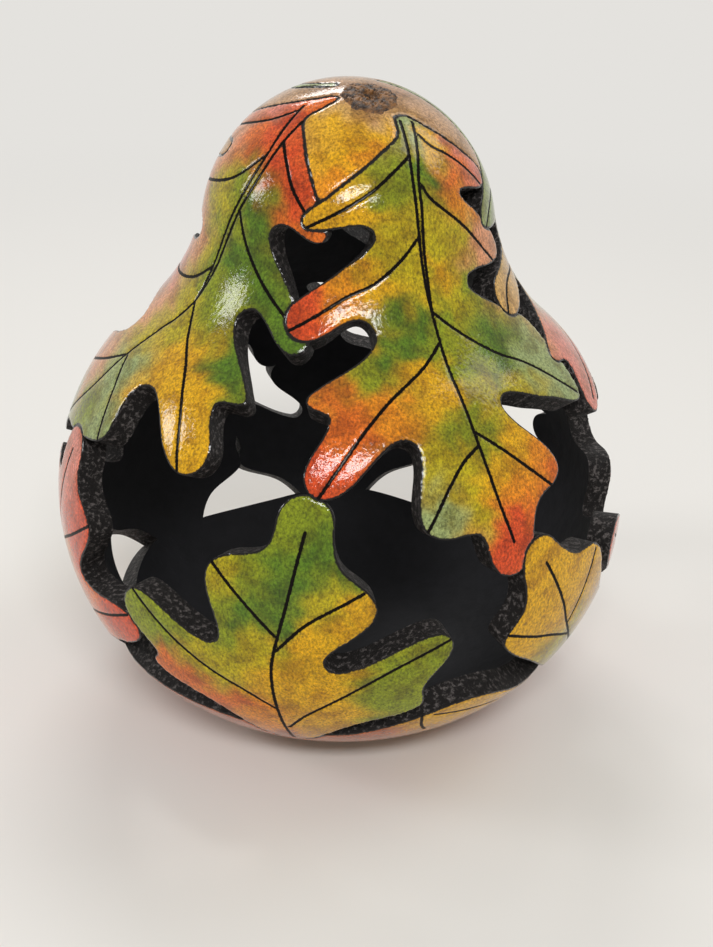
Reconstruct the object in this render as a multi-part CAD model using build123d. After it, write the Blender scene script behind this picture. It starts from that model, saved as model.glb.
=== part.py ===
from build123d import *
import cmath
import math
import os

import numpy as np

# Driving sizes of the gourd, in millimetres
HEIGHT = 209.0
BULB_RADIUS = 95.0
BULB_ARC = 78.0
BASE_RADIUS = 38.4
WAIST_ARC = 62.0
DOME_RADIUS = 46.0
WALL = 8.0

# The corky stem scar: its bearing in degrees, and in millimetres its way down the skin from the
# pole, its width, how far it stands proud and the pit in its middle
SCAR_BEARING = 20.0
SCAR_OFFSET = 15.8
SCAR_WIDTH = 16.0
SCAR_RISE = 0.8
SCAR_PIT_WIDTH = 7.0
SCAR_PIT_DEPTH = 1.8

# How far a cut passes outside the skin and into the hollow, in millimetres, and how closely an
# outline is followed on its arcs and its straights, in degrees
CUT_MARGIN = 3.0
ARC_STEP = 45.0
LINE_STEP = 9.0

# The outer skin is three tangent arcs, the dome, the hollow waist and the bulb
BULB_CENTRE = BULB_RADIUS - BULB_ARC
BULB_LEVEL = math.sqrt(BULB_ARC**2 - (BASE_RADIUS - BULB_CENTRE) ** 2)
DOME_LEVEL = HEIGHT - DOME_RADIUS
RISE = DOME_LEVEL - BULB_LEVEL
SPAN = math.hypot(BULB_CENTRE, RISE)
FROM_BULB = BULB_ARC + WAIST_ARC
FROM_DOME = DOME_RADIUS + WAIST_ARC
ALONG = (FROM_BULB**2 - FROM_DOME**2 + SPAN**2) / (2 * SPAN)
ASIDE = math.sqrt(FROM_BULB**2 - ALONG**2)
WAIST_CENTRE = BULB_CENTRE + (ASIDE * RISE - ALONG * BULB_CENTRE) / SPAN
WAIST_LEVEL = BULB_LEVEL + (ALONG * RISE + ASIDE * BULB_CENTRE) / SPAN

# Angles where the arcs meet, and the length of skin from the pole to the end of each arc
DOME_END = math.atan2(WAIST_LEVEL - DOME_LEVEL, WAIST_CENTRE)
BULB_START = math.atan2(WAIST_LEVEL - BULB_LEVEL, WAIST_CENTRE - BULB_CENTRE)
BULB_END = -math.acos((BASE_RADIUS - BULB_CENTRE) / BULB_ARC)
FLOOR_END = -math.asin((BULB_LEVEL - WALL) / (BULB_ARC - WALL))
DOME_RUN = DOME_RADIUS * (math.pi / 2 - DOME_END)
WAIST_RUN = DOME_RUN + WAIST_ARC * (BULB_START - DOME_END)
SKIN_RUN = WAIST_RUN + BULB_ARC * (BULB_START - BULB_END)
FLOOR_RUN = WAIST_RUN + BULB_ARC * (BULB_START - FLOOR_END)


def skin(run, depth=0.0):
    """Radius and height of the point this far down the skin from the pole and this deep under it."""
    if run < DOME_RUN:
        angle = math.pi / 2 - run / DOME_RADIUS
        reach = DOME_RADIUS - depth
        return reach * math.cos(angle), DOME_LEVEL + reach * math.sin(angle)
    if run < WAIST_RUN:
        angle = DOME_END + (run - DOME_RUN) / WAIST_ARC
        reach = WAIST_ARC + depth
        return WAIST_CENTRE - reach * math.cos(angle), WAIST_LEVEL - reach * math.sin(angle)
    angle = BULB_START - (run - WAIST_RUN) / BULB_ARC
    reach = BULB_ARC - depth
    return BULB_CENTRE + reach * math.cos(angle), BULB_LEVEL + reach * math.sin(angle)


def place(bearing, level, depth=0.0):
    """Point at a bearing in degrees from the front and a level in percent of the way from pole to base."""
    radius, height = skin(SKIN_RUN * level / 100, depth)
    turn = math.radians(bearing)
    return Vector(radius * math.sin(turn), -radius * math.cos(turn), height)


# Chart of the skin on which small circles stay round: bearing across and drop down, both in degrees
CHART_LEVELS = np.linspace(2, 100, 500)
CHART_RUNS = SKIN_RUN * CHART_LEVELS / 100
CHART_SLOPES = np.array([1 / skin(run)[0] for run in CHART_RUNS])
CHART_STEPS = np.diff(CHART_RUNS) * (CHART_SLOPES[1:] + CHART_SLOPES[:-1]) / 2
CHART_DROPS = np.degrees(np.concatenate([[0], np.cumsum(CHART_STEPS)]))


def on_chart(bearing, level):
    """A place on the skin as a complex number on the chart, with up as its imaginary part."""
    return complex(bearing, -np.interp(level, CHART_LEVELS, CHART_DROPS))


def off_chart(spot):
    """Bearing and level of a complex number on the chart."""
    return spot.real, float(np.interp(-spot.imag, CHART_DROPS, CHART_LEVELS))


def touch(spot, radius, heading):
    """Where a belt with this heading touches a peg, which is on its left for a lobe."""
    return spot - radius * 1j * cmath.exp(1j * heading)


def belt(pegs):
    """Bearings and levels along a belt drawn tight round pegs, outside each lobe and inside each notch.

    A peg is a bearing, a level and a radius in degrees on the chart, which is negative for a notch.
    From the top round by the left, the belt is an arc on each peg and a straight line between two.
    """
    spots = [on_chart(bearing, level) for bearing, level, radius in pegs]
    radii = [radius for bearing, level, radius in pegs]
    followers = [(index + 1) % len(pegs) for index in range(len(pegs))]
    headings = []
    for index, follower in enumerate(followers):
        gap = spots[follower] - spots[index]
        headings.append(cmath.phase(gap) + math.asin((radii[index] - radii[follower]) / abs(gap)))
    course = []
    for index, follower in enumerate(followers):
        side = math.copysign(1, radii[index])
        turn = side * ((side * (headings[index] - headings[index - 1])) % (2 * math.pi))
        steps = max(1, round(math.degrees(abs(turn)) / ARC_STEP))
        for step in range(steps + 1):
            course.append(touch(spots[index], radii[index], headings[index - 1] + turn * step / steps))
        leaving = course[-1]
        line = touch(spots[follower], radii[follower], headings[index]) - leaving
        lengths = max(1, round(abs(line) / LINE_STEP))
        course += [leaving + line * length / lengths for length in range(1, lengths)]
    return [off_chart(spot) for spot in course]


def turned(pegs, bearing):
    """The same pegs further round the gourd."""
    return [(peg[0] + bearing, peg[1], peg[2]) for peg in pegs]


def mirrored(pegs, bearing, spread=1.0):
    """The pegs' mirror image, spread sideways from the bearing on which the front falls."""
    return [(bearing - peg[0] * spread, peg[1], peg[2]) for peg in reversed(pegs)]


# Front leaf: its stem, then the lobes and notches down its left edge and up its right edge
FRONT_STEM = [
    (39.5, 9.7, 2.0),
    (32.5, 9.6, 2.0),
    (23.5, 11.5, -4.0),
]
FRONT_LEFT_EDGE = [
    (-13.2, 21.2, 3.4),
    (6.2, 22.65, -4.0),
    (-11.0, 31.1, 7.0),
    (4.3, 32.8, -5.3),
    (-5.6, 39.8, 2.2),
    (-3.4, 41.9, -1.4),
    (-2.0, 47.6, 4.4),
    (13.2, 45.6, -3.3),
    (20.0, 51.6, 4.9),
    (25.3, 55.4, -1.9),
]
FRONT_RIGHT_EDGE = [
    (32.8, 56.9, 4.6),
    (43.0, 54.3, -3.8),
    (44.5, 49.6, 3.6),
    (42.0, 42.2, -2.9),
    (66.0, 44.0, 3.0),
    (69.3, 35.6, 2.6),
    (49.8, 28.4, -3.2),
    (69.8, 25.9, 4.6),
    (52.6, 19.2, -1.7),
    (70.1, 18.0, 5.2),
]
FRONT_LEAF = FRONT_STEM + FRONT_LEFT_EDGE + FRONT_RIGHT_EDGE

# Right leaf: its left edge lies over the front leaf, and its right edge is the front leaf's turned
RIGHT_STEM = [
    (107.0, 12.6, -5.0),
    (100.0, 3.2, 10.0),
    (80.0, 15.8, -5.0),
]
RIGHT_LEFT_EDGE = [
    (67.0, 22.3, 5.0),
    (86.0, 25.6, -4.0),
    (66.4, 31.2, 7.5),
    (91.0, 32.6, -3.6),
    (69.0, 40.0, 1.9),
    (72.2, 41.8, -1.0),
    (73.0, 46.3, 4.0),
    (96.5, 46.0, -4.5),
    (104.0, 51.6, 4.9),
    (109.5, 55.4, -1.9),
]
RIGHT_LEAF = RIGHT_STEM + RIGHT_LEFT_EDGE + turned(FRONT_RIGHT_EDGE, 87.0)

# Back leaf: the front leaf's edges mirrored, with a stem that bends over the dome to the scar
BACK_STEM = [
    (234.0, 9.6, -5.0),
    (322.0, 3.4, 10.0),
]
BACK_LEAF = BACK_STEM + mirrored(FRONT_LEFT_EDGE + FRONT_RIGHT_EDGE, 236.9, 1.1)

# Left leaf: it leans away to the left, under the front leaf's two upper lobes
LEFT_LEAF = [
    (-25.3, 10.2, -4.4),
    (-17.5, 6.45, 5.0),
    (-100.0, 14.1, 6.0),
    (-76.5, 16.1, -3.8),
    (-100.0, 20.8, 8.0),
    (-75.5, 25.5, -3.4),
    (-97.0, 31.3, 10.0),
    (-83.6, 38.9, -5.0),
    (-91.5, 46.8, 6.0),
    (-96.0, 53.0, -2.0),
    (-89.0, 54.6, 4.6),
    (-80.5, 55.5, -3.0),
    (-58.5, 48.4, 4.9),
    (-48.2, 45.1, -5.2),
    (-30.9, 47.1, 5.1),
    (-27.2, 42.2, -1.4),
    (-23.0, 40.7, 1.6),
    (-29.3, 32.6, -4.6),
    (-14.0, 33.3, 4.8),
    (-23.5, 23.4, -5.0),
    (-10.6, 22.3, 4.2),
]

# Lower leaves stand on the base with their tips up
LOWER_FRONT_LEAF = [
    (-5.3, 52.25, 5.2),
    (-13.6, 54.1, -2.4),
    (-17.8, 59.3, 4.9),
    (-22.5, 65.6, -2.5),
    (-36.6, 66.3, 4.7),
    (-36.2, 71.8, -1.2),
    (-34.6, 73.6, 2.0),
    (-29.0, 81.0, -7.2),
    (-10.0, 86.5, 2.5),
    (9.0, 81.8, -6.5),
    (15.2, 74.8, 2.9),
    (20.6, 72.2, -3.3),
    (18.2, 66.6, 3.5),
    (1.2, 67.6, -2.3),
    (3.4, 61.2, 4.2),
    (3.2, 55.6, -2.7),
]
LOWER_RIGHT_LEAF = [
    (39.6, 58.9, 4.5),
    (32.6, 63.5, -3.4),
    (34.9, 67.9, 2.6),
    (59.5, 85.0, -6.0),
    (70.0, 87.0, 2.5),
    (70.0, 74.0, 3.6),
    (66.5, 67.4, -2.6),
    (55.4, 63.2, 4.4),
    (50.6, 57.4, -4.8),
]
LOWER_FAR_RIGHT_LEAF = [
    (113.5, 59.2, 4.6),
    (105.5, 59.2, -2.6),
    (98.5, 62.8, 3.6),
    (92.8, 67.2, -2.3),
    (71.5, 64.6, 5.0),
    (86.0, 80.0, -6.5),
    (101.0, 86.5, 2.5),
    (117.0, 81.0, -6.5),
    (134.0, 69.5, 4.6),
    (121.2, 66.4, -2.3),
    (121.0, 62.4, 3.6),
    (120.5, 58.6, -2.0),
]
LOWER_LEFT_LEAF = [
    (-66.2, 54.6, 5.8),
    (-75.5, 57.0, -2.6),
    (-83.0, 60.6, 4.6),
    (-84.0, 66.2, -2.4),
    (-98.5, 69.0, 4.6),
    (-89.0, 80.5, -7.0),
    (-72.0, 86.5, 2.5),
    (-54.0, 80.5, -7.0),
    (-42.2, 69.8, 3.8),
    (-55.4, 66.7, -2.1),
    (-55.2, 60.7, 3.3),
    (-57.2, 55.6, -2.7),
]
LOWER_BACK_LEAF = turned(LOWER_FRONT_LEAF, 193.0)
LOWER_FAR_LEFT_LEAF = mirrored(LOWER_FRONT_LEAF, 229.0)

# Each leaf with a place inside it, those that lie over another before the one below
LEAVES = {
    "lower_far_right_leaf": (LOWER_FAR_RIGHT_LEAF, (103.0, 72.0)),
    "lower_right_leaf": (LOWER_RIGHT_LEAF, (46.0, 66.0)),
    "right_leaf": (RIGHT_LEAF, (116.0, 36.0)),
    "front_leaf": (FRONT_LEAF, (29.0, 36.0)),
    "lower_front_leaf": (LOWER_FRONT_LEAF, (-10.0, 70.0)),
    "lower_left_leaf": (LOWER_LEFT_LEAF, (-70.0, 65.0)),
    "left_leaf": (LEFT_LEAF, (-50.0, 30.0)),
    "lower_back_leaf": (LOWER_BACK_LEAF, (183.0, 70.0)),
    "back_leaf": (BACK_LEAF, (205.0, 36.0)),
    "lower_far_left_leaf": (LOWER_FAR_LEFT_LEAF, (239.0, 70.0)),
}

# Rim of the base bowl, as bearings and levels round the gourd, with its tongue at the front right
BASE_RIM = [
    (-170.0, 81.0),
    (-140.0, 82.2),
    (-110.0, 81.0),
    (-80.0, 82.4),
    (-50.0, 81.2),
    (-28.0, 81.0),
    (-8.0, 82.6),
    (4.0, 82.4),
    (12.0, 80.4),
    (19.0, 78.4),
    (26.0, 76.8),
    (34.0, 77.0),
    (44.0, 79.6),
    (56.0, 81.8),
    (75.0, 82.2),
    (100.0, 81.4),
    (130.0, 82.2),
    (160.0, 81.6),
]


def arcs(runs, depth):
    """Three tangent arcs through seven points of the skin, this deep under it."""
    points = [Vector(radius, 0, height) for radius, height in (skin(run, depth) for run in runs)]
    return [Edge.make_three_point_arc(*points[first : first + 3]) for first in (0, 2, 4)]


def shell():
    """The whole wall of the gourd, closed below by a flat foot."""
    runs = [0, DOME_RUN / 2, DOME_RUN, (DOME_RUN + WAIST_RUN) / 2, WAIST_RUN]
    outer = arcs(runs + [(WAIST_RUN + SKIN_RUN) / 2, SKIN_RUN], 0)
    inner = arcs(runs + [(WAIST_RUN + FLOOR_RUN) / 2, FLOOR_RUN], WALL)
    foot = Edge.make_line(outer[-1] @ 1, Vector(0, 0, 0))
    under = Edge.make_line(Vector(0, 0, 0), Vector(0, 0, WALL))
    floor = Edge.make_line(Vector(0, 0, WALL), inner[-1] @ 1)
    top = Edge.make_line(inner[0] @ 0, outer[0] @ 0)
    return revolve(Face(Wire(outer + [foot, under, floor] + inner + [top])), Axis.Z).solid()


def band(places):
    """Ruled face square to the skin that follows a closed line from outside the shell into its hollow."""
    outer = [place(bearing, level, -CUT_MARGIN) for bearing, level in places]
    inner = [place(bearing, level, WALL + CUT_MARGIN) for bearing, level in places]
    walk = [0.0]
    for start, end in zip(outer, outer[1:] + outer[:1]):
        walk.append(walk[-1] + (end - start).length)
    edges = [Edge.make_spline(line, periodic=True, parameters=walk) for line in (outer, inner)]
    return Face.make_surface_from_curves(*edges)


def cut_out(stock, places, seed):
    """Parts the stock along a closed line, and gives the solid round the seed and the other solids."""
    blade = band(places)
    solids = [piece for solid in stock for piece in solid.split(blade, keep=Keep.ALL).solids()]
    wanted = next(solid for solid in solids if solid.is_inside(seed))
    return wanted, [solid for solid in solids if solid is not wanted]


def plug(low, high):
    """Round plug of the scar's width along Z, square to the dome, between two distances from its centre."""
    lean = math.degrees(math.asin(SCAR_WIDTH / 2 / DOME_RADIUS))
    under = CenterArc((0, 0), low, 90 - lean, lean)
    over = CenterArc((0, 0), high, 90, -lean)
    middle = Line((0, low), (0, high))
    side = Line(over @ 1, under @ 0)
    return revolve(Plane.XZ * make_face([under, middle, over, side]), Axis.Z)


def scar(crown):
    """The crown with a hole for the scar, and the scar itself, standing proud with a pit in its middle."""
    centre = Vector(0, 0, DOME_LEVEL)
    plane = Plane(centre, z_dir=place(SCAR_BEARING, 100 * SCAR_OFFSET / SKIN_RUN) - centre)
    bottom = DOME_RADIUS - WALL
    top = DOME_RADIUS + SCAR_RISE
    pit_radius = (SCAR_PIT_WIDTH**2 / 4 + SCAR_PIT_DEPTH**2) / (2 * SCAR_PIT_DEPTH)
    pit = Pos(Z=top - SCAR_PIT_DEPTH + pit_radius) * Sphere(pit_radius)
    hole = plane * plug(bottom - CUT_MARGIN, top + CUT_MARGIN)
    return crown - hole, plane * (plug(bottom, top) - pit)


def main():
    nodes = {}
    stock = [shell()]
    for name, (pegs, seed) in LEAVES.items():
        nodes[name], stock = cut_out(stock, belt(pegs), place(*seed, WALL / 2))
    nodes["base_bowl"], stock = cut_out(stock, BASE_RIM, Vector(0, 0, WALL / 2))
    crown = next(solid for solid in stock if solid.is_inside(Vector(0, 0, HEIGHT - WALL / 2)))
    nodes["crown"], nodes["stem_scar"] = scar(crown)
    os.makedirs("parts", exist_ok=True)
    for name, solid in nodes.items():
        export_step(solid, f"parts/{name}.step")


main()
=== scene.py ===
import math

import bmesh
import bpy
import numpy as np
from mathutils import Matrix, Vector
from mathutils.geometry import delaunay_2d_cdt


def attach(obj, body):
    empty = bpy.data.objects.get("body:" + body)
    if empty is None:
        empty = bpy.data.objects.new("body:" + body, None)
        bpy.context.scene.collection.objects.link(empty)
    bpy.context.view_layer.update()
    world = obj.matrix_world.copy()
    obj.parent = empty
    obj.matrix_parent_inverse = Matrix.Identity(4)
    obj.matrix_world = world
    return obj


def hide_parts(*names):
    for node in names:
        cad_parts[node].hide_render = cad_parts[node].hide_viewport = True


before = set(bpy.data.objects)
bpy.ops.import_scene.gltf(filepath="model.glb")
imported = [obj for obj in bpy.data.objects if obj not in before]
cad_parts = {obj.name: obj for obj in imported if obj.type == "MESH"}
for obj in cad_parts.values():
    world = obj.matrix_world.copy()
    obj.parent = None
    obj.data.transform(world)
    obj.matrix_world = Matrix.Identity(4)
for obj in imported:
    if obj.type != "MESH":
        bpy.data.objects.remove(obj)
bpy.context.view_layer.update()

# Sizes of the gourd's skin in millimetres, the same as in the solids
HEIGHT = 209.0
BULB_RADIUS = 95.0
BULB_ARC = 78.0
BASE_RADIUS = 38.4
WAIST_ARC = 62.0
DOME_RADIUS = 46.0
WALL = 8.0

# The stem's scar, as in the solids: its bearing in degrees and, in millimetres, its way down the skin from the
# pole, its width, how far it stands proud and its pit's depth. The radius of its ragged rim is given only here
SCAR_BEARING = 20.0
SCAR_OFFSET = 15.8
SCAR_WIDTH = 16.0
SCAR_RISE = 0.8
SCAR_PIT = 1.8
SCAR_RIM = 8.7

# Sizes of the carving and the inking in millimetres
VEIN_WIDTH = 1.0
GROOVE_DEPTH = 0.22
EDGE_WIDTH = 0.8
EDGE_DEPTH = 0.35
DAB_CORE = 3.0
INK_SWAY = 2.6

# The nets: spacings in millimetres on the skin, along veins and in the hollow, the gap between rows as a
# share of the spacing, and the rows across the cut
MESH_STEP = 1.0
VEIN_STEP = 0.7
INSIDE_STEP = 6.0
ROW_SHARE = 0.87
CUT_ROWS = 4

# Measuring: points taken at a time and, in millimetres, the play within which a corner counts as on the skin
# and the furthest way to a line that is noted
BLOCK = 2000
ON_SKIN = 0.05
FAR = 12.0

# The scar's net: rings, corners round each, and the innermost ring as a share of the outermost
SCAR_RINGS = 34
SCAR_SIDES = 144
SCAR_EYE = 0.03

# The skin's three tangent arcs, the angles where they meet and the run of skin to the end of each
BULB_CENTRE = BULB_RADIUS - BULB_ARC
BULB_LEVEL = math.sqrt(BULB_ARC**2 - (BASE_RADIUS - BULB_CENTRE) ** 2)
DOME_LEVEL = HEIGHT - DOME_RADIUS
RISE = DOME_LEVEL - BULB_LEVEL
SPAN = math.hypot(BULB_CENTRE, RISE)
FROM_BULB = BULB_ARC + WAIST_ARC
FROM_DOME = DOME_RADIUS + WAIST_ARC
ALONG = (FROM_BULB**2 - FROM_DOME**2 + SPAN**2) / (2 * SPAN)
ASIDE = math.sqrt(FROM_BULB**2 - ALONG**2)
WAIST_CENTRE = BULB_CENTRE + (ASIDE * RISE - ALONG * BULB_CENTRE) / SPAN
WAIST_LEVEL = BULB_LEVEL + (ALONG * RISE + ASIDE * BULB_CENTRE) / SPAN
DOME_END = math.atan2(WAIST_LEVEL - DOME_LEVEL, WAIST_CENTRE)
BULB_START = math.atan2(WAIST_LEVEL - BULB_LEVEL, WAIST_CENTRE - BULB_CENTRE)
BULB_END = -math.acos((BASE_RADIUS - BULB_CENTRE) / BULB_ARC)
FLOOR_END = -math.asin((BULB_LEVEL - WALL) / (BULB_ARC - WALL))
DOME_RUN = DOME_RADIUS * (math.pi / 2 - DOME_END)
WAIST_RUN = DOME_RUN + WAIST_ARC * (BULB_START - DOME_END)
SKIN_RUN = WAIST_RUN + BULB_ARC * (BULB_START - BULB_END)
FLOOR_RUN = WAIST_RUN + BULB_ARC * (BULB_START - FLOOR_END)
FOOT_RUN = SKIN_RUN + BASE_RADIUS
FLOOR_RADIUS = BULB_CENTRE + (BULB_ARC - WALL) * math.cos(FLOOR_END)


def skin(run, depth=0.0):
    """Radius and height of points this far down the skin from the pole and this deep under it.

    The profile is a dome arc, a hollow waist arc, a bulb arc and then the flat foot.
    """
    dome = math.pi / 2 - run / DOME_RADIUS
    waist = DOME_END + (run - DOME_RUN) / WAIST_ARC
    bulb = BULB_START - (run - WAIST_RUN) / BULB_ARC
    stretch = [run < DOME_RUN, run < WAIST_RUN, run < SKIN_RUN]
    radius = np.select(
        stretch,
        [
            (DOME_RADIUS - depth) * np.cos(dome),
            WAIST_CENTRE - (WAIST_ARC + depth) * np.cos(waist),
            BULB_CENTRE + (BULB_ARC - depth) * np.cos(bulb),
        ],
        FOOT_RUN - run,
    )
    height = np.select(
        stretch,
        [
            DOME_LEVEL + (DOME_RADIUS - depth) * np.sin(dome),
            WAIST_LEVEL - (WAIST_ARC + depth) * np.sin(waist),
            BULB_LEVEL + (BULB_ARC - depth) * np.sin(bulb),
        ],
        depth,
    )
    return radius, height


def inside(run):
    """Radius and height of the hollow's wall under each run of skin, with a flat floor above the foot."""
    radius, height = skin(run, WALL)
    on_floor = run > FLOOR_RUN
    floor = FLOOR_RADIUS * (FOOT_RUN - run) / (FOOT_RUN - FLOOR_RUN)
    return np.where(on_floor, floor, radius), np.where(on_floor, WALL, height)


def turned_out(bearing, radius, height):
    """Points at bearings in degrees from the front, radii and heights."""
    turn = np.radians(bearing)
    return np.stack([radius * np.sin(turn), -radius * np.cos(turn), height + 0 * turn], axis=-1)


def on_skin(bearing, run, depth=0.0):
    """Points of the skin, or this deep under it."""
    return turned_out(bearing, *skin(run, depth))


# Chart of the skin on which small circles stay round: bearing across and drop down, both in degrees. The
# profile's runs and heights tell how far down the skin a height lies
CHART_RUNS = np.linspace(0.01, 1, 2000) * SKIN_RUN
CHART_SLOPES = 1 / skin(CHART_RUNS)[0]
CHART_STEPS = np.diff(CHART_RUNS) * (CHART_SLOPES[1:] + CHART_SLOPES[:-1]) / 2
CHART_DROPS = np.degrees(np.concatenate([[0], np.cumsum(CHART_STEPS)]))
PROFILE_RUNS = np.linspace(0, SKIN_RUN, 6000)
PROFILE_HEIGHTS = skin(PROFILE_RUNS)[1]


def leaf_chart(bearing, run):
    """Bearing across and drop upwards, for a leaf that doesn't reach round a pole."""
    return np.stack([bearing, -np.interp(run, CHART_RUNS, CHART_DROPS)], axis=-1)


def crown_chart(bearing, run):
    """Run from the pole as radius, for the crown."""
    return turned_out(bearing, run, 0.0)[..., :2]


def base_chart(bearing, run):
    """Way along the skin from the middle of the foot as radius, for the base."""
    return turned_out(bearing, FOOT_RUN - run, 0.0)[..., :2]


def course(points, step):
    """Bearings and runs along a smooth line through bearings and levels, about a step in millimetres apart.

    A Catmull-Rom curve goes through the points, and is then walked at even lengths on the skin.
    """
    points = np.array(points, float)
    points[:, 1] *= SKIN_RUN / 100
    ends = np.concatenate([2 * points[:1] - points[1:2], points, 2 * points[-1:] - points[-2:-1]])
    part = np.linspace(0, 1, 24, endpoint=False)[None, :, None]
    a, b, c, d = (ends[first : len(ends) - 3 + first, None] for first in range(4))
    curve = b + part / 2 * (c - a + part * (2 * a - 5 * b + 4 * c - d + part * (3 * (b - c) + d - a)))
    curve = np.concatenate([curve.reshape(-1, 2), points[-1:]])
    return evenly(curve, step)


def evenly(curve, step):
    """The bearings and runs of a line, walked at even lengths on the skin."""
    lengths = np.linalg.norm(np.diff(on_skin(*curve.T), axis=0), axis=1)
    walk = np.concatenate([[0], np.cumsum(lengths)])
    stops = np.linspace(0, walk[-1], max(2, round(walk[-1] / step) + 1))
    return np.stack([np.interp(stops, walk, curve[:, axis]) for axis in (0, 1)], axis=-1)


def nearest(points, targets):
    """Distance from each point to the closest target, found in blocks of points."""
    found = []
    for block in np.array_split(points, max(1, len(points) // BLOCK)):
        square = (block**2).sum(1)[:, None] + (targets**2).sum(1)[None] - 2 * block @ targets.T
        found.append(np.sqrt(np.maximum(square.min(1), 0)))
    return np.concatenate(found)


def enclosed(spots, loops):
    """Whether each spot on a chart lies inside the loops, by counting the sides above it."""
    crossings = np.zeros(len(spots), int)
    for loop in loops:
        start = loop
        end = np.roll(loop, -1, axis=0)
        for block in np.array_split(np.arange(len(spots)), max(1, len(spots) // BLOCK)):
            x, y = spots[block, 0][:, None], spots[block, 1][:, None]
            spans = (start[None, :, 0] > x) != (end[None, :, 0] > x)
            slope = (end[:, 1] - start[:, 1]) / np.where(end[:, 0] == start[:, 0], 1, end[:, 0] - start[:, 0])
            above = start[None, :, 1] + slope[None] * (x - start[None, :, 0]) > y
            crossings[block] += (spans & above).sum(1)
    return crossings % 2 == 1


def outlines(node):
    """Bearings and runs round each edge of a solid's outer skin.

    Corners on the skin or the foot are found by their radius, the triangles between three of them are the
    outer face, and the sides that only one of those has are chained into loops.
    """
    mesh = bmesh.new()
    mesh.from_mesh(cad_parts[node].data)
    bmesh.ops.remove_doubles(mesh, verts=mesh.verts, dist=1e-6)
    corners = np.array([vert.co for vert in mesh.verts]) * 1000
    radius = np.hypot(corners[:, 0], corners[:, 1])
    run = np.interp(-corners[:, 2], -PROFILE_HEIGHTS, PROFILE_RUNS)
    outer = np.abs(radius - skin(run)[0]) < ON_SKIN
    outer |= corners[:, 2] < ON_SKIN
    bearing = np.degrees(np.arctan2(corners[:, 0], -corners[:, 1]))
    onward = {}
    for face in mesh.faces:
        if all(outer[vert.index] for vert in face.verts):
            for loop in face.loops:
                onward[loop.vert.index, loop.link_loop_next.vert.index] = True
    mesh.free()
    follow = {start: end for start, end in onward if (end, start) not in onward}
    loops = []
    while follow:
        start, spot = follow.popitem()
        chain = [start]
        while spot != start:
            chain.append(spot)
            spot = follow.pop(spot)
        turn = np.degrees(np.unwrap(np.radians(bearing[chain + [start]])))
        loops.append(np.stack([turn, run[chain + [start]]], axis=-1))
    return loops


def filling(chart, loops, step):
    """Bearings and runs of points a step apart, over the whole band that holds the loops.

    Rows are staggered and half the root of three of a step apart, so that triangles come out even.
    """
    low = min(loop[:, 1].min() for loop in loops)
    high = max(loop[:, 1].max() for loop in loops)
    west = min(loop[:, 0].min() for loop in loops)
    east = max(loop[:, 0].max() for loop in loops)
    if chart is not leaf_chart:
        west, east = -180.0, 180.0
        low, high = (0.5, high) if chart is crown_chart else (low, FOOT_RUN - 0.5)
    rows = []
    for index, run in enumerate(np.arange(low, high, step * ROW_SHARE)):
        count = max(5, round(math.radians(east - west) * float(skin(np.array(run))[0]) / step))
        bearing = west + (east - west) * (np.arange(count) + index % 2 / 2) / count
        rows.append(np.stack([bearing, np.full(count, run)], axis=-1))
    return np.concatenate(rows)


def beside(line, offset):
    """A line of bearings and runs moved sideways along the skin by an offset in millimetres."""
    way = np.gradient(line, axis=0)
    radius = skin(line[:, 1])[0]
    east = np.radians(way[:, 0]) * radius
    length = np.hypot(east, way[:, 1]) + 1e-9
    across = np.stack([np.degrees(-way[:, 1] / length / radius), east / length], axis=-1)
    return line + offset * across


def triangles(chart, loops, points):
    """Corners as bearings and runs, and the triangles among them, with the loops as their outer sides."""
    sides = []
    corners = []
    for loop in loops:
        first = sum(len(part) for part in corners)
        index = np.arange(len(loop))
        sides += np.stack([first + index, first + (index + 1) % len(loop)], axis=-1).tolist()
        corners.append(loop)
    corners = np.concatenate(corners + [points])
    spots = chart(*corners.T)
    result = delaunay_2d_cdt([Vector(spot) for spot in spots], sides, [], 0, 1e-7)
    source = np.array([origin[0] if origin else -1 for origin in result[3]])
    faces = np.array(result[2])
    faces = source[faces[(source[faces] >= 0).all(1)]]
    inner = enclosed(spots[faces].mean(1), [chart(*loop.T) for loop in loops])
    return corners, faces[inner]


def soft_step(part):
    """Rises smoothly from 0 to 1 as the part does."""
    part = np.clip(part, 0, 1)
    return part * part * (3 - 2 * part)


def within(chart, loops, points):
    """Whether each point, as a bearing and a run, lies inside the loops."""
    return enclosed(chart(*points.T), [chart(*loop.T) for loop in loops])


def burned_lines(chart, loops, veins):
    """Bearings and runs along each vein, on the leaf's own turn of bearings and only inside the leaf."""
    lines = [course(vein, VEIN_STEP) for vein in veins]
    if chart is leaf_chart:
        middle = loops[0][:, 0].mean()
        lines = [line + [360 * round((middle - line[:, 0].mean()) / 360), 0] for line in lines]
    lines = [line[within(chart, loops, line)] for line in lines]
    return [line for line in lines if len(line) > 3]


def outer_net(chart, loops, lines):
    """Corners and triangles of the skin: even rows of points, and five closer rows along each burned line."""
    rim = on_skin(*np.concatenate(loops).T)
    points = filling(chart, loops, MESH_STEP)
    if lines:
        burned = on_skin(*np.concatenate(lines).T)
        points = points[nearest(on_skin(*points.T), burned) > VEIN_WIDTH * 1.25]
        rows = [beside(line, aside * VEIN_WIDTH) for aside in (0, -0.5, 0.5, -1, 1) for line in lines]
        points = np.concatenate([points] + rows)
    points = points[within(chart, loops, points)]
    points = points[nearest(on_skin(*points.T), rim) > 0.45 * MESH_STEP]
    return triangles(chart, loops, points)


def inner_net(chart, loops):
    """Corners and triangles of the face in the hollow, which is plain and so has wide rows."""
    rim = on_skin(*np.concatenate(loops).T)
    points = filling(chart, loops, INSIDE_STEP)
    points = points[within(chart, loops, points)]
    points = points[nearest(on_skin(*points.T), rim) > 0.5 * INSIDE_STEP]
    return triangles(chart, loops, points)


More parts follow.
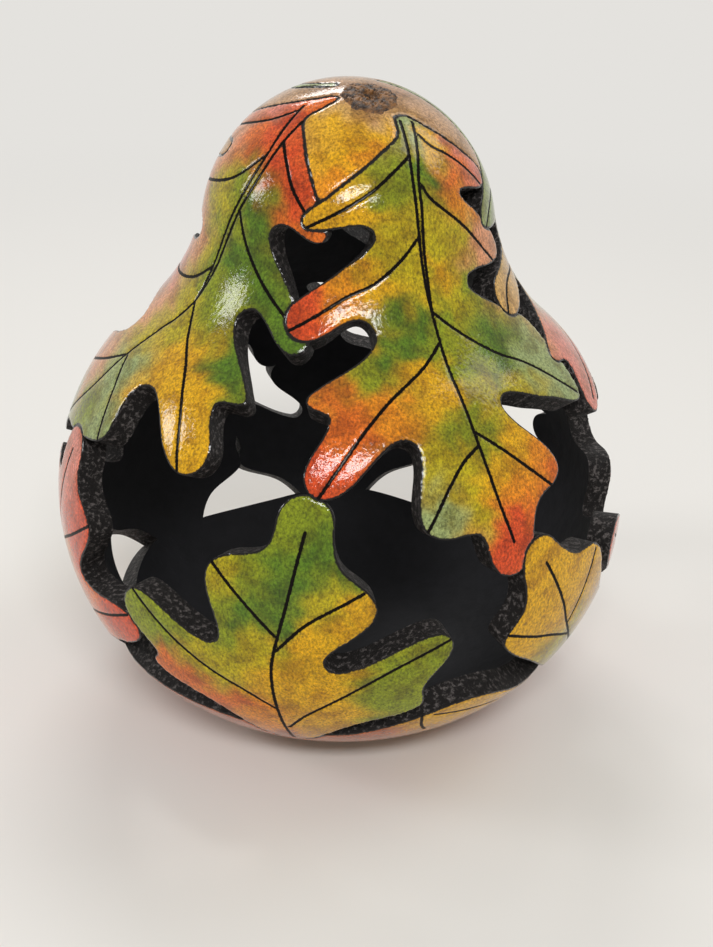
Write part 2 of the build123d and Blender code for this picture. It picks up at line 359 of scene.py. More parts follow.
def cut_strip(outer, hollow, loops):
    """Points on straight ways from the skin's edge to the hollow's edge, and the quads among them."""
    count = sum(len(loop) for loop in loops)
    depth = np.linspace(0, 1, CUT_ROWS + 2)[1:-1, None, None]
    strip = (outer[None, :count] * (1 - depth) + hollow[None, :count] * depth).reshape(-1, 3)
    ring = np.arange(count)
    rows = [ring] + [len(outer) + count * row + ring for row in range(CUT_ROWS + 1)]
    firsts = np.cumsum([0] + [len(loop) for loop in loops[:-1]])
    onward = [first + np.roll(np.arange(len(loop)), -1) for first, loop in zip(firsts, loops)]
    onward = np.concatenate(onward)
    quads = [np.stack([a, b, b[onward], a[onward]], axis=-1) for a, b in zip(rows, rows[1:])]
    return strip, np.concatenate(quads)


def shell_piece(node, chart, veins, palette, coats):
    """A carved part of the shell, which takes the place of a solid.

    Its outer skin is a fine net of triangles inside the solid's outline, sunk along burned lines and round
    its edge. A strip square to the skin is the cut through the wall, and a coarse net faces the hollow.
    Attributes hold each corner's way to a vein and to the edge in millimetres, and the ink brushed on it.
    """
    loops = [evenly(loop, MESH_STEP)[:-1] for loop in outlines(node)]
    lines = burned_lines(chart, loops, veins)
    corners, faces = outer_net(chart, loops, lines)
    place = on_skin(*corners.T)
    edge = np.minimum(nearest(place, on_skin(*max(loops, key=len).T)), FAR)
    vein = np.full(len(corners), FAR)
    if lines:
        vein = np.minimum(nearest(place, on_skin(*np.concatenate(lines).T)), FAR)
    groove = GROOVE_DEPTH * soft_step(1 - vein / VEIN_WIDTH)
    worn = EDGE_DEPTH * soft_step(1 - edge / EDGE_WIDTH) ** 2
    outer = on_skin(*corners.T, np.maximum(groove, worn))
    inner_corners, inner_faces = inner_net(chart, loops)
    hollow = turned_out(inner_corners[:, 0], *inside(inner_corners[:, 1]))
    strip, cut = cut_strip(outer, hollow, loops)

    everything = np.concatenate([outer, strip, hollow]) / 1000
    first_inside = len(outer) + len(strip)
    mesh = bpy.data.meshes.new(node)
    polygons = faces.tolist() + cut.tolist() + (first_inside + inner_faces).tolist()
    mesh.from_pydata(everything.tolist(), [], polygons)
    for coat in coats:
        mesh.materials.append(coat)
    kinds = np.repeat([0, 1, 2], [len(faces), len(cut), len(inner_faces)])
    mesh.polygons.foreach_set("material_index", kinds.astype(np.int32))
    mesh.polygons.foreach_set("use_smooth", np.ones(len(kinds), bool))
    hidden = np.zeros(len(everything) - len(outer))
    for name, values in (("vein", vein), ("edge", edge)):
        attribute = mesh.attributes.new(name, "FLOAT", "POINT")
        attribute.data.foreach_set("value", np.concatenate([values, hidden]).astype(np.float32))
    ink = np.ones((len(everything), 4), np.float32)
    ink[: len(outer), :3] = inked(place, palette)
    mesh.attributes.new("ink", "FLOAT_COLOR", "POINT").data.foreach_set("color", ink.ravel())
    piece = placed("carved_" + node, mesh, node)
    sharp_between_kinds(mesh)
    return piece


def placed(name, mesh, node):
    """A piece with its faces turned outwards, which rides on the gourd's body in place of a solid."""
    outward = bmesh.new()
    outward.from_mesh(mesh)
    bmesh.ops.recalc_face_normals(outward, faces=outward.faces)
    outward.to_mesh(mesh)
    outward.free()
    piece = bpy.data.objects.new(name, mesh)
    bpy.context.scene.collection.objects.link(piece)
    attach(piece, "root")
    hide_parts(node)
    return piece


def sharp_between_kinds(mesh):
    """Marks the sides where the skin, the cut and the hollow meet as sharp."""
    kinds = np.zeros(len(mesh.polygons), np.int32)
    mesh.polygons.foreach_get("material_index", kinds)
    sides = np.zeros(len(mesh.loops), np.int32)
    mesh.loops.foreach_get("edge_index", sides)
    totals = np.zeros(len(mesh.polygons), np.int32)
    mesh.polygons.foreach_get("loop_total", totals)
    kind_of_side = np.repeat(kinds, totals)
    least = np.full(len(mesh.edges), 9)
    most = np.full(len(mesh.edges), -1)
    np.minimum.at(least, sides, kind_of_side)
    np.maximum.at(most, sides, kind_of_side)
    mesh.edges.foreach_set("use_edge_sharp", least != most)


def linear(colour):
    """Linear red, green and blue of an sRGB hex colour."""
    part = np.array([int(colour[first : first + 2], 16) for first in (1, 3, 5)]) / 255
    return np.where(part <= 0.04045, part / 12.92, ((part + 0.055) / 1.055) ** 2.4)


def inked(places, palette):
    """Linear colour of each place, blended from dabs of ink by the fourth power of nearness.

    The places are first swayed by sines of sines, a few millimetres each way, so that inks meet unevenly.
    """
    swung = np.sin(0.31 * places[:, [1, 2, 0]] + 1.7 * np.sin(0.23 * places[:, [2, 0, 1]]))
    swung += 0.6 * np.sin(0.83 * places[:, [2, 0, 1]] + 1.9 * np.sin(0.57 * places[:, [1, 2, 0]]))
    places = places + INK_SWAY * swung
    dabs = np.array([dab for dabs in palette.values() for dab in dabs])
    spots = on_skin(dabs[:, 0], dabs[:, 1] * SKIN_RUN / 100)
    colours = np.array([linear(ink) for ink, dabs in palette.items() for dab in dabs])
    weight = np.stack([1 / (((places - spot) ** 2).sum(1) + DAB_CORE**2) ** 2 for spot in spots], axis=-1)
    return weight @ colours / weight.sum(1, keepdims=True)


# Burned veins of each leaf, as bearings in degrees from the front and levels, which are percents of the
# skin's run from the pole to the foot. The front and left midribs are double lines down to the large lobes
FRONT_MIDRIB = [
    [(33, 10), (30.5, 12.5), (28.2, 16), (27.3, 19), (27.3, 22), (28, 26), (28.9, 31)],
    [(41.5, 10.3), (37, 12.5), (33, 15), (30.4, 17.2), (29.5, 20), (29, 23), (29.3, 27), (28.9, 31)],
]
FRONT_VEINS = [
    [(28.9, 31), (29, 33.5), (29, 38), (29.5, 45), (31, 51), (33.3, 56)],
    [(29, 14.4), (20, 16), (10, 18), (0, 19.7), (-15, 22)],
    [(27.4, 22.7), (20, 25), (10, 27.3), (0, 28.8), (-16, 32.5)],
    [(29, 33.8), (22, 36.3), (15, 38.5), (10, 40.5), (5, 43.3), (0, 47), (-3.5, 50)],
    [(29.3, 45.5), (25, 47), (21, 49.5), (16.5, 53.3)],
    [(31.5, 17.7), (35, 19.3), (47, 22), (55, 24), (68, 27.8)],
    [(28.9, 30.5), (35, 32.6), (47, 36.5), (55, 38.8), (67, 44.7)],
    [(29.5, 44), (35, 46.5), (45, 51.8)],
    [(40, 12), (44, 13.5), (52, 14.8), (60, 16.5), (69, 19)],
]
LEFT_FORK = (-54.5, 32.3)
LEFT_VEINS = [
    [(-38.2, 8.3), (-39, 12), (-40.2, 15.3), (-43, 18), (-46, 20.5), (-50, 23.5), (-52, 26), LEFT_FORK],
    [(-30, 10.5), (-34.5, 13.3), (-38.5, 17), (-41.5, 19.3), (-45.5, 22), (-49, 25), (-51, 28), LEFT_FORK],
    [LEFT_FORK, (-58.6, 35), (-62, 37), (-66, 41.5), (-71, 47), (-80, 52), (-88, 55.5)],
    [(-34, 13.5), (-28, 15.7), (-22, 18.3), (-16, 20.3)],
    [(-44, 21.7), (-40, 24), (-35, 26), (-28, 28.3), (-18, 31.2)],
    [(-54, 32.4), (-48, 36), (-42, 39), (-38, 42), (-35, 45), (-31.5, 50)],
    [(-65, 41.5), (-60, 45.5), (-56.3, 51)],
    [(-39, 9.1), (-55, 11.2), (-80, 13), (-98, 14.2)],
    [(-40.5, 15.3), (-55, 18.5), (-80, 20.2), (-100, 20.8)],
    [(-53, 28), (-62, 30), (-75, 31), (-95, 31.5)],
    [(-66, 41.5), (-75, 44), (-88, 47)],
]
RIGHT_VEINS = [
    [(100, 4), (103, 14), (108, 24), (112, 36), (116, 50), (118, 58)],
    [(104, 17), (95, 20), (80, 21), (72, 22), (66, 23.6)],
    [(107, 25), (95, 29.5), (76, 30), (68, 31), (62, 33)],
    [(112, 36), (100, 40), (88, 43), (74, 47)],
    [(115, 46), (110, 49), (104, 53)],
]
BACK_STEM_VEINS = [
    [(322, 4), (290, 5), (255, 8), (222, 13), (208, 20), (205, 31)],
]
LOWER_FRONT_VEINS = [
    [(-5.2, 53.2), (-8, 61.5), (-10, 67), (-10.6, 70), (-10.4, 75), (-9, 86)],
    [(-9.7, 64.7), (-14, 62), (-21.5, 57.5)],
    [(-9.5, 66.5), (-4, 62.8), (5.3, 59.2)],
    [(-10.3, 76.2), (-16, 73.5), (-23, 71), (-30, 68), (-38.5, 63.8)],
    [(-8.8, 80.8), (-4, 76.5), (6, 71), (13, 68), (20.8, 65.5)],
]
LOWER_RIGHT_VEINS = [
    [(40.7, 59.5), (46.5, 65.5), (50, 69.3), (55, 73), (60, 76.3), (69.5, 86)],
    [(33, 67), (40, 68.8), (46, 70.2), (54, 72.6)],
    [(57, 61.5), (54, 65.5), (50.8, 69.8)],
]
LOWER_LEFT_VEINS = [
    [(-66.2, 54), (-69, 60), (-72, 66), (-73, 74), (-72, 86)],
    [(-52.2, 59.8), (-60, 63), (-70, 66.5)],
    [(-41, 68), (-48, 70.2), (-58, 73), (-72, 77)],
    [(-84, 59.5), (-78, 63), (-72, 66.5)],
    [(-99, 68.5), (-88, 71), (-73, 75)],
]
LOWER_FAR_RIGHT_VEINS = [
    [(113.5, 58), (109, 65), (105, 72), (101, 86)],
    [(97, 62), (102, 66), (106, 70)],
    [(70, 63.5), (84, 69), (103, 76)],
    [(136, 69), (120, 72), (104, 76)],
    [(122, 61.5), (114, 65), (109, 67)],
]
BASE_VEINS = [
    [(22, 78.6), (32, 80), (42, 81.5)],
    [(18.5, 76.5), (20.3, 81), (23, 84)],
]

# The carver's inks
GREEN = "#527414"
OLIVE = "#828e12"
MUSTARD = "#b4a40c"
GOLD = "#daa40a"
AMBER = "#e08a10"
ORANGE = "#d86a18"
SCARLET = "#d24a1c"
ROSE = "#d87c68"
# Peach is partly the ink and partly painted sheen: its dabs lie near the left and right outlines, where the
# varnish's pale sheen is painted into the colour.
PEACH_AND_EDGE_SHEEN = "#da9468"
SAND = "#d0a45c"
SAGE = "#92a066"
RUST = "#b8643c"
TAN = "#c09874"
UMBER_AND_RIM_SHADE = "#a87c5a"

# Where each ink is dabbed on each leaf, as bearings and levels
FRONT_INKS = {
    GREEN: [(36, 17), (22, 31), (17, 34.5), (47, 36)],
    OLIVE: [(15, 18), (27, 17), (45, 29), (28, 33), (9, 37), (33, 37), (29, 44)],
    MUSTARD: [(14, 26), (26, 25), (38, 23), (37, 30), (45, 42), (22, 47), (26, 50)],
    GOLD: [(47, 13), (0, 20), (-13, 21.5), (12, 28), (34, 26), (24, 38), (38, 46), (30, 49)],
    AMBER: [(52, 20), (2, 28.5), (12, 41), (44, 48), (35, 51)],
    ORANGE: [(55, 17), (5, 42), (1, 44), (47, 51)],
    SCARLET: [(-9, 30.5), (-14, 32.5), (2, 46), (-3, 48), (34, 54), (33, 57)],
    SAGE: [(35, 10.5), (57, 39), (66, 43), (18, 51.5)],
    PEACH_AND_EDGE_SHEEN: [(60, 24), (66, 27)],
    ROSE: [(62, 15.5), (70, 18.5)],
}
LEFT_INKS = {
    GREEN: [(-36, 21), (-32, 23.5), (-40, 26), (-26, 29), (-17, 33), (-28, 38)],
    OLIVE: [(-44, 19), (-52, 22), (-50, 27), (-47, 31), (-66, 50)],
    MUSTARD: [(-60, 20), (-60, 27), (-56, 34), (-68, 38)],
    GOLD: [(-44, 39), (-36, 42), (-49, 44), (-31, 48)],
    ORANGE: [(-22, 8), (-48, 12), (-56, 14.5), (-11, 22)],
    SCARLET: [(-36, 10), (-40, 13), (-30, 16), (-20, 19)],
    ROSE: [(-60, 9.5), (-98, 21), (-85, 29), (-97, 32)],
    PEACH_AND_EDGE_SHEEN: [(-92, 14), (-72, 15), (-78, 20), (-74, 26), (-76, 36), (-84, 45)],
    SAGE: [(-63, 43), (-57, 50), (-88, 54)],
}
RIGHT_INKS = {
    SAGE: [(100, 8), (104, 18), (74, 22), (110, 34)],
    MUSTARD: [(128, 20)],
    GOLD: [(150, 27), (104, 51)],
    AMBER: [(130, 49)],
    SCARLET: [(118, 57)],
    ROSE: [(152, 18), (82, 41), (150, 43), (72, 46)],
    SAND: [(86, 30), (68, 31)],
}
# The lower leaves face down, and the inks dabbed on them are picked partway darker than the leaves' own
# colour: partly painted shade of the lower half. The lower back and far left leaves take these dabs too.
LOWER_FRONT_INKS = {
    GREEN: [(-4, 55.5), (1, 57), (-9, 58.5), (-7, 62), (-13, 63)],
    OLIVE: [(-8, 53.5), (-17, 59), (-20, 64), (-38, 66), (19, 67), (-32, 68), (10, 70), (12, 75)],
    MUSTARD: [(-21, 58), (0, 61), (-14, 67), (-22, 70)],
    GOLD: [(5, 60), (3, 63.5), (-3, 66), (-10, 70), (0, 73), (0, 80)],
    AMBER: [(-14, 80)],
    ORANGE: [(-32, 74), (-22, 77)],
    RUST: [(-12, 87)],
}
LOWER_RIGHT_INKS = {
    OLIVE: [(60, 77)],
    MUSTARD: [(50, 73)],
    GOLD: [(39, 59), (55, 63), (46, 66), (36, 68)],
    PEACH_AND_EDGE_SHEEN: [(69, 74)],
    SAND: [(66, 68)],
}
LOWER_LEFT_INKS = {
    AMBER: [(-70, 68)],
    ORANGE: [(-58, 70), (-72, 74)],
    SCARLET: [(-56, 60), (-60, 64), (-44, 69)],
    ROSE: [(-66, 54), (-84, 61), (-70, 62), (-98, 69)],
    RUST: [(-72, 85)],
}
LOWER_FAR_RIGHT_INKS = {
    OLIVE: [(121, 62)],
    MUSTARD: [(132, 69)],
    AMBER: [(104, 74)],
    ORANGE: [(90, 72)],
    SCARLET: [(113, 58)],
    ROSE: [(98, 63), (72, 64)],
    RUST: [(102, 86)],
}
# The umber dab at bearing 20 and level 8.5, just below the stem's scar, is partly the skin's brown halo round
# the stem and partly painted shade at the scar's raised rim.
CROWN_INKS = {
    TAN: [(20, 0.5), (-60, 6), (62, 8), (110, 8), (-95, 9), (200, 9), (150, 10), (80, 13)],
    UMBER_AND_RIM_SHADE: [(20, 3), (-20, 5.5), (60, 5.5), (20, 8.5)],
    SAND: [(-8, 9), (20, 9.8), (-120, 18), (200, 18)],
    GOLD: [(-8, 11), (5, 11.5), (16, 11.5), (0, 14)],
    AMBER: [(10, 14), (-4, 18)],
}
BASE_INKS = {
    GOLD: [(26, 78.5), (36, 80)],
    RUST: [(-120, 85), (-60, 85), (-20, 84), (10, 84), (60, 85), (110, 85), (170, 85)],
    TAN: [(0, 100), (120, 100), (240, 100)],
}


def mirrored(lines, bearing, spread=1.0):
    """Veins, or dabs of ink, mirrored round the gourd and spread sideways."""
    return [[(bearing - spread * across, level) for across, level in line] for line in lines]


def turned(lines, bearing):
    """Veins, or dabs of ink, moved further round the gourd."""
    return [[(bearing + across, level) for across, level in line] for line in lines]


def dabbed(palette, move, *how):
    """The inks of one leaf on another, with their dabs mirrored or turned."""
    return dict(zip(palette, move(palette.values(), *how)))


# Leaves out of view, and the far half of the right leaf, take veins and inks from leaves in view
BACK_VEINS = BACK_STEM_VEINS + mirrored(FRONT_VEINS, 236.9, 1.1)
BACK_INKS = dabbed(FRONT_INKS, mirrored, 236.9, 1.1)
BACK_INKS[SAGE] += [(300, 5), (255, 8)]
LOWER_BACK_VEINS = turned(LOWER_FRONT_VEINS, 193)
LOWER_BACK_INKS = dabbed(LOWER_FRONT_INKS, turned, 193)
LOWER_FAR_LEFT_VEINS = mirrored(LOWER_FRONT_VEINS, 229)
LOWER_FAR_LEFT_INKS = dabbed(LOWER_FRONT_INKS, mirrored, 229)
RIGHT_VEINS += turned(FRONT_VEINS[5:8], 85)


# Settings of nodes that ease between two values, blend two colours and tint one colour by another
SMOOTH = {"interpolation_type": "SMOOTHSTEP"}
BLEND = {"data_type": "RGBA"}
TINT = {"data_type": "RGBA", "blend_type": "MULTIPLY"}


def add(tree, kind, settings=None, **links):
    """Adds a shader node with its settings, and fills its sockets from values or from other sockets."""
    node = tree.nodes.new("ShaderNode" + kind)
    for name, value in (settings or {}).items():
        setattr(node, name, value)
    for name, value in links.items():
        key = int(name[1:]) if name[1:].isdigit() else name.replace("_", " ")
        if isinstance(value, bpy.types.NodeSocket):
            tree.links.new(value, node.inputs[key])
        else:
            node.inputs[key].default_value = value
    return node


def hue(colour):
    """A hex colour as the four numbers that a socket takes."""
    return (*linear(colour), 1.0)


def finish(name):
    """An empty material, its tree and its shader."""
    material = bpy.data.materials.new(name)
    material.use_nodes = True
    tree = material.node_tree
    return material, tree, tree.nodes["Principled BSDF"]


def per_metre(millimetres):
    """Noise scale at which a grain has about this width on Object coordinates in metres."""
    return 1000 / millimetres


def varnished_skin():
    """Gourd skin, inked and scored with a hot point, under gloss spray varnish.

    Ink soaks in unevenly, so its colour clouds over several millimetres and is stippled at under one. Burned
    lines are near black. The varnish is smooth but follows the skin's small pebbles, which break up
    reflections. All gloss is the varnish's, because the ink below it meets no air. Burned grooves are rough
    and drink it.
    """
    material, tree, shader = finish("inked_gourd_skin_under_varnish")
    place = add(tree, "TexCoord").outputs["Object"]
    ink = add(tree, "Attribute", {"attribute_name": "ink"}).outputs["Color"]
    vein = add(tree, "Attribute", {"attribute_name": "vein"}).outputs["Fac"]
    edge = add(tree, "Attribute", {"attribute_name": "edge"}).outputs["Fac"]
    strands = add(tree, "Mapping", Vector=place, Scale=(1.0, 1.0, 0.75)).outputs[0]
    cloud = add(tree, "TexNoise", Vector=place, Scale=per_metre(7), Detail=4.0, Roughness=0.6).outputs["Fac"]
    grit = add(tree, "TexNoise", Vector=strands, Scale=per_metre(0.75), Detail=3.0, Roughness=0.7)
    speckle = grit.outputs["Fac"]
    pebble = add(tree, "TexNoise", Vector=place, Scale=per_metre(1.5), Detail=2.0).outputs["Fac"]
    patch = add(
        tree,
        "MapRange",
        SMOOTH,
        Value=cloud,
        From_Min=0.42,
        From_Max=0.66,
        To_Max=0.65,
    )
    soaked = add(
        tree,
        "Mix",
        TINT,
        i0=patch.outputs[0],
        i6=ink,
        i7=hue("#b4a04c"),
    )
    grain = add(tree, "MapRange", Value=speckle, From_Min=0.32, From_Max=0.68, To_Min=0.4, To_Max=1.35)
    mottled = add(
        tree,
        "Mix",
        TINT,
        i0=1.0,
        i6=soaked.outputs[2],
        i7=grain.outputs[0],
    )
    waver = add(tree, "MapRange", Value=speckle, From_Min=0.3, From_Max=0.7, To_Min=-0.12, To_Max=0.12)
    unsteady = add(tree, "Math", i0=vein, i1=waver.outputs[0])
    line = add(
        tree,
        "MapRange",
        SMOOTH,
        Value=unsteady.outputs[0],
        From_Min=VEIN_WIDTH * 0.4,
        From_Max=VEIN_WIDTH * 0.66,
    )
    ragged = add(tree, "Math", i0=edge, i1=waver.outputs[0])
    rim = add(
        tree,
        "MapRange",
        SMOOTH,
        Value=ragged.outputs[0],
        From_Min=EDGE_WIDTH * 0.5,
        From_Max=EDGE_WIDTH,
    )
    bare = add(tree, "Math", {"operation": "MULTIPLY"}, i0=line.outputs[0], i1=rim.outputs[0])
    colour = add(
        tree,
        "Mix",
        BLEND,
        i0=bare.outputs[0],
        i6=hue("#0a0604"),
        i7=mottled.outputs[2],
    )
    tree.links.new(colour.outputs[2], shader.inputs["Base Color"])
    relief = add(tree, "Bump", Strength=0.35, Distance=0.0003, Height=pebble)
    fine = add(tree, "Bump", Strength=0.15, Distance=0.0002, Height=speckle, Normal=relief.outputs[0])
    tree.links.new(fine.outputs[0], shader.inputs["Normal"])
    tree.links.new(fine.outputs[0], shader.inputs["Coat Normal"])
    shader.inputs["Roughness"].default_value = 0.5
    shader.inputs["Specular IOR Level"].default_value = 0.0
    gloss = add(tree, "MapRange", Value=line.outputs[0], To_Min=0.3, To_Max=1.0)
    tree.links.new(gloss.outputs[0], shader.inputs["Coat Weight"])
    shader.inputs["Coat Roughness"].default_value = 0.07
    shader.inputs["Coat IOR"].default_value = 1.38
    return material


def charred_cut():
    """The wall's cut edge, sawn and then blackened. Its coarse pith leaves it rough, with grey flecks on the
    raised grains that are partly the pith's own colour and partly painted glints.
    """
    material, tree, shader = finish("charred_cut_edge")
    place = add(tree, "TexCoord").outputs["Object"]
    pith = add(tree, "TexNoise", Vector=place, Scale=per_metre(1.4), Detail=5.0, Roughness=0.7).outputs["Fac"]
    # Grey flecks where the pith stands highest: partly the pith's own colour, partly painted glints.
    flecks_and_glints = add(tree, "MapRange", SMOOTH, Value=pith, From_Min=0.5, From_Max=0.66)
    colour = add(
        tree,
        "Mix",
        BLEND,
        i0=flecks_and_glints.outputs[0],
        i6=hue("#120e0d"),
        i7=hue("#6a6462"),
    )
    tree.links.new(colour.outputs[2], shader.inputs["Base Color"])
    relief = add(tree, "Bump", Strength=0.9, Distance=0.0012, Height=pith)
    tree.links.new(relief.outputs[0], shader.inputs["Normal"])
    shader.inputs["Roughness"].default_value = 0.55
    shader.inputs["Specular IOR Level"].default_value = 0.25
    return material


def black_paint():
    """Matte black paint over the scraped hollow. It shows faint scrape marks and dust, and is lighter and
    bluish where the scrapes rise, which is partly a painted sheen.
    """
    material, tree, shader = finish("matte_black_paint")
    place = add(tree, "TexCoord").outputs["Object"]
    scrapes_and_sheen = add(tree, "TexNoise", Vector=place, Scale=per_metre(6), Detail=5.0).outputs["Fac"]
    # Near black with a blue cast, lighter where the scrape noise rises: partly scrape marks and dust, partly
    # painted sheen.
    colour = add(
        tree,
        "Mix",
        BLEND,
        i0=scrapes_and_sheen,
        i6=hue("#101013"),
        i7=hue("#202024"),
    )
    tree.links.new(colour.outputs[2], shader.inputs["Base Color"])
    relief = add(tree, "Bump", Strength=0.5, Distance=0.001, Height=scrapes_and_sheen)
    tree.links.new(relief.outputs[0], shader.inputs["Normal"])
    shader.inputs["Roughness"].default_value = 0.65
    shader.inputs["Specular IOR Level"].default_value = 0.25
    return material


def dry_cork():
    """The stem's scar, dry and corky: dark pits between pale ridges, with no varnish in them. The pits' dark
    is partly the cork's own colour and partly painted shade, as it follows the low places of the bump.
    """
    material, tree, shader = finish("dry_cork")
    place = add(tree, "TexCoord").outputs["Object"]
    grit = add(tree, "TexNoise", Vector=place, Scale=per_metre(2.2), Detail=5.0, Roughness=0.7)
    crumb = grit.outputs["Fac"]
    # Dark where the crumbs sink and pale where they rise: partly the cork's own colour, partly painted shade
    # in the pits.
    ridge = add(tree, "MapRange", SMOOTH, Value=crumb, From_Min=0.38, From_Max=0.64)
    colour = add(
        tree,
        "Mix",
        BLEND,
        i0=ridge.outputs[0],
        i6=hue("#26160a"),
        i7=hue("#8a5e30"),
    )
    tree.links.new(colour.outputs[2], shader.inputs["Base Color"])
    relief = add(tree, "Bump", Strength=0.8, Distance=0.001, Height=crumb)
    tree.links.new(relief.outputs[0], shader.inputs["Normal"])
    shader.inputs["Roughness"].default_value = 0.55
    return material


def scar_piece(cork):
    """The corky plug of the stem: polar rings whose top is a ragged crater, closed down to the hollow.

    Height over the dome is a raised ring with a hollow middle, roughened by sums of sines of unlike lengths.
    The ring's ragged rim lies over the crown, and the plug below it fills the hole in the shell.
    """
    rings = np.linspace(SCAR_EYE, 1, SCAR_RINGS)[:, None]
    turn = np.linspace(0, 2 * math.pi, SCAR_SIDES, endpoint=False)[None]
    ragged = 1 + 0.05 * np.sin(3 * turn + 1) + 0.05 * np.sin(7 * turn) + 0.03 * np.sin(13 * turn + 2)
    reach = rings * ragged * SCAR_RIM
    x, y = reach * np.cos(turn), reach * np.sin(turn)
    crumbs = np.sin(2.3 * x + 1.4 * np.sin(1.7 * y)) + np.sin(2.9 * y + 1.6 * np.sin(2.1 * x))
    crumbs += np.sin(4.7 * (x - y) + np.sin(3 * x)) + 0.6 * np.sin(6.1 * (x + y) + 2 * np.sin(4 * y))
    brim = soft_step((1 - rings) * 4)
    crater = SCAR_RISE - SCAR_PIT * (1 - soft_step(rings * 2.1))
    top = DOME_RADIUS - 0.15 + np.minimum((crater + 0.2 + 0.28 * crumbs) * brim, SCAR_RISE)
    under = DOME_RADIUS - np.array([1.0, WALL, WALL])[:, None]
    plug = SCAR_WIDTH / 2 * np.array([0.98, 0.98, SCAR_EYE])[:, None]
    lean = np.arcsin(np.concatenate([reach, plug + 0 * turn]) / DOME_RADIUS)
    height = np.concatenate([top, under + 0 * turn])
    way = np.stack([np.sin(lean) * np.cos(turn), np.sin(lean) * np.sin(turn), np.cos(lean)], axis=-1)
    grid = height[..., None] * way
    rows, columns = grid.shape[:2]
    axis = on_skin(np.array(SCAR_BEARING), np.array(SCAR_OFFSET)) - [0, 0, DOME_LEVEL]
    tilt = np.array(Vector(axis).to_track_quat("Z", "Y").to_matrix())
    points = (grid.reshape(-1, 3) @ tilt.T + [0, 0, DOME_LEVEL]) / 1000
    index = np.arange(rows * columns).reshape(rows, columns)
    across = np.roll(index, -1, axis=1)
    quads = np.stack([index[:-1], index[1:], across[1:], across[:-1]], -1).reshape(-1, 4)
    mesh = bpy.data.meshes.new("stem_scar")
    mesh.from_pydata(points.tolist(), [], quads.tolist() + [index[0].tolist(), index[-1].tolist()])
    mesh.polygons.foreach_set("use_smooth", np.ones(len(mesh.polygons), bool))
    mesh.materials.append(cork)
    placed("corky_stem_scar", mesh, "stem_scar")


def gourd():
    """All pieces of the gourd, with their finishes."""
    coats = [varnished_skin(), charred_cut(), black_paint()]
    leaves = {
        "front_leaf": (FRONT_MIDRIB + FRONT_VEINS, FRONT_INKS),
        "left_leaf": (LEFT_VEINS, LEFT_INKS),
        "right_leaf": (RIGHT_VEINS, RIGHT_INKS),
        "back_leaf": (BACK_VEINS, BACK_INKS),
        "lower_front_leaf": (LOWER_FRONT_VEINS, LOWER_FRONT_INKS),
        "lower_right_leaf": (LOWER_RIGHT_VEINS, LOWER_RIGHT_INKS),
        "lower_left_leaf": (LOWER_LEFT_VEINS, LOWER_LEFT_INKS),
        "lower_far_right_leaf": (LOWER_FAR_RIGHT_VEINS, LOWER_FAR_RIGHT_INKS),
        "lower_back_leaf": (LOWER_BACK_VEINS, LOWER_BACK_INKS),
        "lower_far_left_leaf": (LOWER_FAR_LEFT_VEINS, LOWER_FAR_LEFT_INKS),
    }
    for node, (veins, palette) in leaves.items():
        shell_piece(node, leaf_chart, veins, palette, coats)
    shell_piece("crown", crown_chart, [], CROWN_INKS, coats)
    shell_piece("base_bowl", base_chart, BASE_VEINS, BASE_INKS, coats)
    scar_piece(dry_cork())


# Camera in millimetres and degrees, and the photograph's frame in pixels
CAMERA_RISE = 26.0
CAMERA_ROLL = 2.02
CAMERA_DISTANCE = 430.6
CAMERA_ASIDE = 5.3
CAMERA_AIM = 77.7
FOCAL_PIXELS = 1250.0
FRAME_HEIGHT = 947.0

# The studio: its colour, its sizes in metres, and the share of the surround that lights the gourd
PALE = "#e4e2de"
LAMP_DISTANCE = 1.3
LAMP_AIM = 0.12
FLOOR_REACH = 6.0
FLOOR_LIT = 0.25
FLOOR_PLAIN = 1.0
SURROUND = 0.5


def camera():
    """The camera of the photograph: it looks down at the gourd's front, rolled a little."""
    rise = math.radians(CAMERA_RISE)
    right = Vector((1, 0, 0))
    up = Vector((0, math.sin(rise), math.cos(rise)))
    back = Vector((0, -math.cos(rise), math.sin(rise)))
    roll = math.radians(CAMERA_ROLL)
    leaned_right = right * math.cos(roll) + up * math.sin(roll)
    leaned_up = up * math.cos(roll) - right * math.sin(roll)
    eye = back * CAMERA_DISTANCE + Vector((CAMERA_ASIDE, 0, CAMERA_AIM))
    lens = bpy.data.cameras.new("camera")
    lens.sensor_fit = "AUTO"
    lens.lens = lens.sensor_width * FOCAL_PIXELS / FRAME_HEIGHT
    lens.clip_start = 0.01
    viewer = bpy.data.objects.new("camera", lens)
    facing = Matrix((leaned_right, leaned_up, back)).transposed().to_4x4()
    viewer.matrix_world = Matrix.Translation(eye / 1000) @ facing
    bpy.context.scene.collection.objects.link(viewer)
    bpy.context.scene.camera = viewer


def lamp(name, bearing, rise, width, height, watts):
    """A soft oblong lamp that faces the gourd's middle from a bearing and a rise in degrees."""
    light = bpy.data.lights.new(name, "AREA")
    light.shape = "RECTANGLE"
    light.size = width
    light.size_y = height
    light.energy = watts
    middle = Vector((0, 0, LAMP_AIM))
    turn, slope = math.radians(bearing), math.radians(rise)
    way = Vector((math.cos(slope) * math.sin(turn), -math.cos(slope) * math.cos(turn), math.sin(slope)))
    shade = bpy.data.objects.new(name, light)
    facing = way.to_track_quat("Z", "Y").to_matrix().to_4x4()
    shade.matrix_world = Matrix.Translation(middle + LAMP_DISTANCE * way) @ facing
    bpy.context.scene.collection.objects.link(shade)


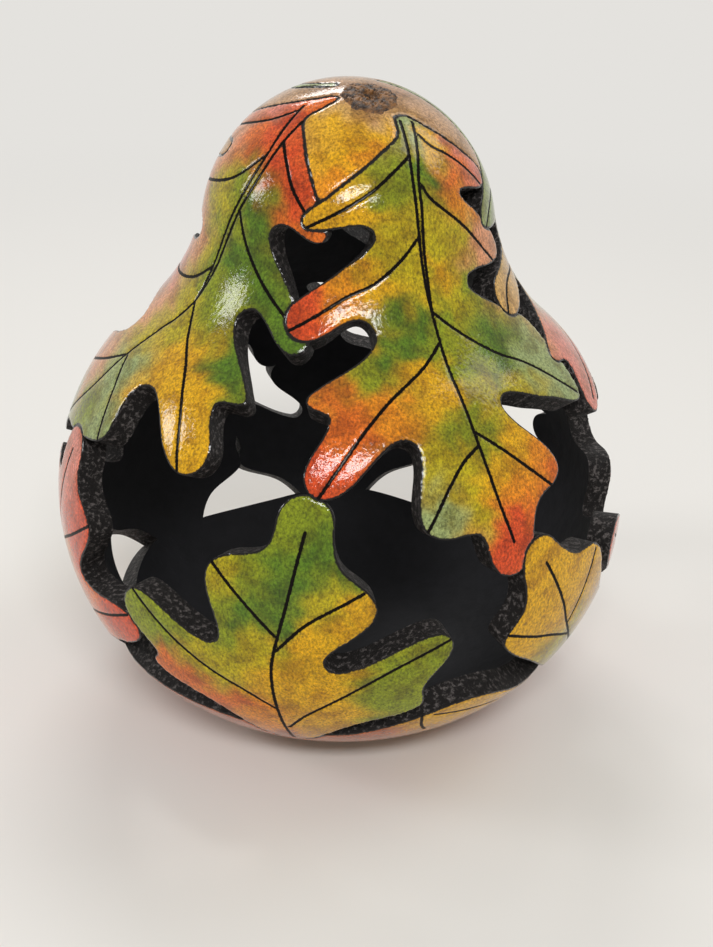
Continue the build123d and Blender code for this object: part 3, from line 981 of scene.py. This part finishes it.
def looked_at(tree):
    """1 for rays that show a backdrop, by eye or in gloss or glass, and 0 for rays that light the gourd."""
    rays = add(tree, "LightPath").outputs
    shown = add(tree, "Math", {"operation": "MAXIMUM"}, i0=rays["Is Camera Ray"], i1=rays["Is Glossy Ray"])
    through = rays["Is Transmission Ray"]
    return add(tree, "Math", {"operation": "MAXIMUM"}, i0=shown.outputs[0], i1=through).outputs[0]


def studio():
    """A floor that turns into an even pale backdrop away from the gourd, soft lamps and a pale surround."""
    material, tree, shader = finish("pale_floor")
    shader.inputs["Base Color"].default_value = hue(PALE)
    shader.inputs["Roughness"].default_value = 0.9
    way = add(tree, "VectorMath", {"operation": "LENGTH"}, i0=add(tree, "TexCoord").outputs["Object"])
    far = add(tree, "MapRange", SMOOTH, Value=way.outputs["Value"], From_Min=FLOOR_LIT, From_Max=FLOOR_PLAIN)
    plain = add(tree, "Math", {"operation": "MULTIPLY"}, i0=far.outputs[0], i1=looked_at(tree))
    glow = add(tree, "Emission", Color=hue(PALE))
    floor_look = add(tree, "MixShader", i0=plain.outputs[0], i1=shader.outputs[0], i2=glow.outputs[0])
    tree.links.new(floor_look.outputs[0], tree.nodes["Material Output"].inputs["Surface"])
    mesh = bpy.data.meshes.new("floor")
    corners = [(x * FLOOR_REACH, y * FLOOR_REACH, 0) for x, y in ((-1, -1), (1, -1), (1, 1), (-1, 1))]
    mesh.from_pydata(corners, [], [(0, 1, 2, 3)])
    mesh.materials.append(material)
    floor = bpy.data.objects.new("floor", mesh)
    bpy.context.scene.collection.objects.link(floor)
    world = bpy.data.worlds.new("surround")
    world.use_nodes = True
    sky = world.node_tree
    sky.nodes["Background"].inputs["Color"].default_value = hue(PALE)
    strength = add(sky, "MapRange", Value=looked_at(sky), To_Min=SURROUND, To_Max=1.0)
    sky.links.new(strength.outputs[0], sky.nodes["Background"].inputs["Strength"])
    bpy.context.scene.world = world
    lamp("front_lamp", 6, 41, 0.58, 0.17, 8.5)
    lamp("left_lamp", -84, 26, 0.3, 0.3, 3.5)
    lamp("right_lamp", 110, 50, 0.6, 0.6, 3.0)
    lamp("back_lamp", 190, 45, 0.6, 0.3, 5.0)
    bpy.context.scene.view_settings.view_transform = "Standard"


gourd()
camera()
studio()
